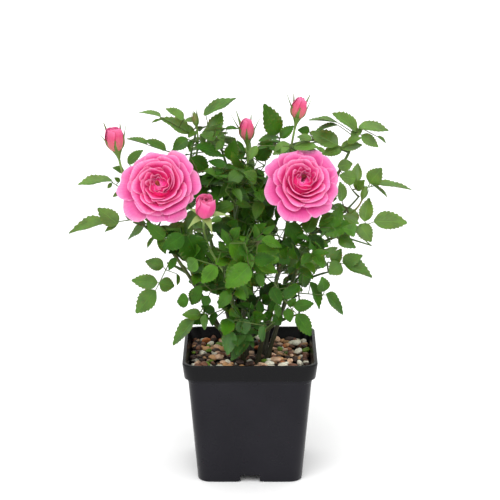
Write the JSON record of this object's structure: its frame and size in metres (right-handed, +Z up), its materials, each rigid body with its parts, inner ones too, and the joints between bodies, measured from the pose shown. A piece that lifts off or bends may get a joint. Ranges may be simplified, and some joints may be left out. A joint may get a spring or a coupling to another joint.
{
  "type": "potted rose bush",
  "caption": "Miniature patio rose bush with pink blooms, buds and toothed compound leaves, standing in a square dark plastic pot topped with gravel.",
  "frame": {"origin": "middle of the pot's flat underside", "axes": "+Z up through the plant, -Y towards the side that the open blooms face, +X to the right of it"},
  "size_m": [0.2823, 0.2112, 0.3161],
  "materials": {
    "pot_plastic": "satin moulded",
    "gravel": "rounded pebbles",
    "stem": "green bark",
    "leaf": "satin",
    "petal": "soft matt",
    "calyx": "satin"
  },
  "bodies": {
    "root": {"pot": "pot_plastic", "gravel_bed": "gravel", "cane_left": "stem", "cane_right": "stem", "cane_front_right": "stem", "cane_front": "stem", "cane_centre": "stem", "cane_back_left": "stem", "cane_back_right": "stem", "cane_back": "stem", "bough_upper_left": "stem", "bough_top_centre": "stem", "bough_right": "stem", "stem_bloom_left": "stem", "stem_bloom_right": "stem", "stem_bud_left": "stem", "stem_bud_centre": "stem", "stem_bud_top": "stem", "stem_bud_front": "stem", "bloom_left": "petal", "bloom_right": "petal", "bud_left": "petal", "bud_centre": "petal", "bud_top": "petal", "bud_front": "petal", "green_bud_left": "calyx", "green_bud_right": "calyx", "foliage_far_left": "leaf", "foliage_upper_left": "leaf", "foliage_top_left": "leaf", "foliage_centre": "leaf", "foliage_top_centre": "leaf", "foliage_top_right": "leaf", "foliage_right": "leaf", "foliage_right_middle": "leaf", "foliage_right_low": "leaf", "foliage_foot_right": "leaf", "foliage_left_low": "leaf", "foliage_foot_left": "leaf", "foliage_front": "leaf", "foliage_foot_front": "leaf", "foliage_left_front": "leaf", "foliage_right_front": "leaf", "foliage_middle": "leaf", "foliage_back_left": "leaf", "foliage_back_right": "leaf", "foliage_back_top_left": "leaf", "foliage_back_top_right": "leaf", "foliage_back": "leaf", "foliage_back_low_left": "leaf", "foliage_back_low_right": "leaf"}
  },
  "joints": []
}
